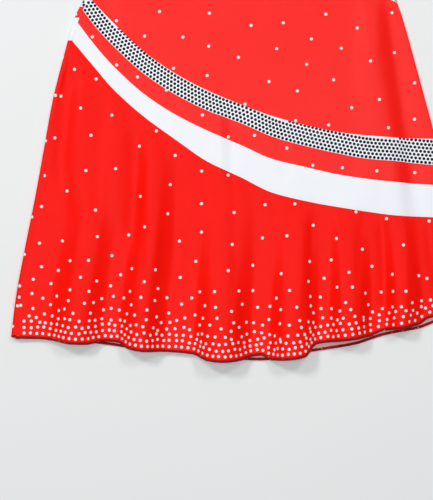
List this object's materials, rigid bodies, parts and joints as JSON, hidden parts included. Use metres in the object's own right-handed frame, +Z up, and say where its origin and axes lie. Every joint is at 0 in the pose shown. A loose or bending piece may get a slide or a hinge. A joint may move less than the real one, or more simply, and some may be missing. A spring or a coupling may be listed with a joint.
{
  "type": "cheerleader dress",
  "caption": "Sleeveless red cheerleader dress laid flat, with a dotted sash, curved dotted, red and white bands and a slanting circular flounce with a dotted hem.",
  "frame": {"origin": "on the surface that the dress lies on, under the middle of its outline", "axes": "+X across the dress, to the right as seen from above with the shoulders up; +Y from the hem to the shoulders; +Z up from the surface, out of the front of the dress"},
  "size_m": [0.4995, 0.843, 0.0265],
  "materials": {
    "red_knit": "smooth matt-satin stretch knit, printed red with small white dots, white on its wrong side",
    "white_knit": "smooth matt-satin stretch knit, plain white",
    "dotted_knit": "white stretch knit printed with staggered rows of small navy dots",
    "hem_overlock": "tight rolled hem, overlocked with dark red thread"
  },
  "bodies": {
    "root": {"front_top": "red_knit", "front_sash": "dotted_knit", "front_body": "red_knit", "front_dotted_band": "dotted_knit", "front_red_strip": "red_knit", "front_white_band": "white_knit", "front_flounce": "red_knit", "front_hem": "hem_overlock", "back_body": "red_knit", "back_dotted_band": "dotted_knit", "back_red_strip": "red_knit", "back_white_band": "white_knit", "back_flounce": "red_knit", "back_hem": "hem_overlock"}
  },
  "joints": []
}
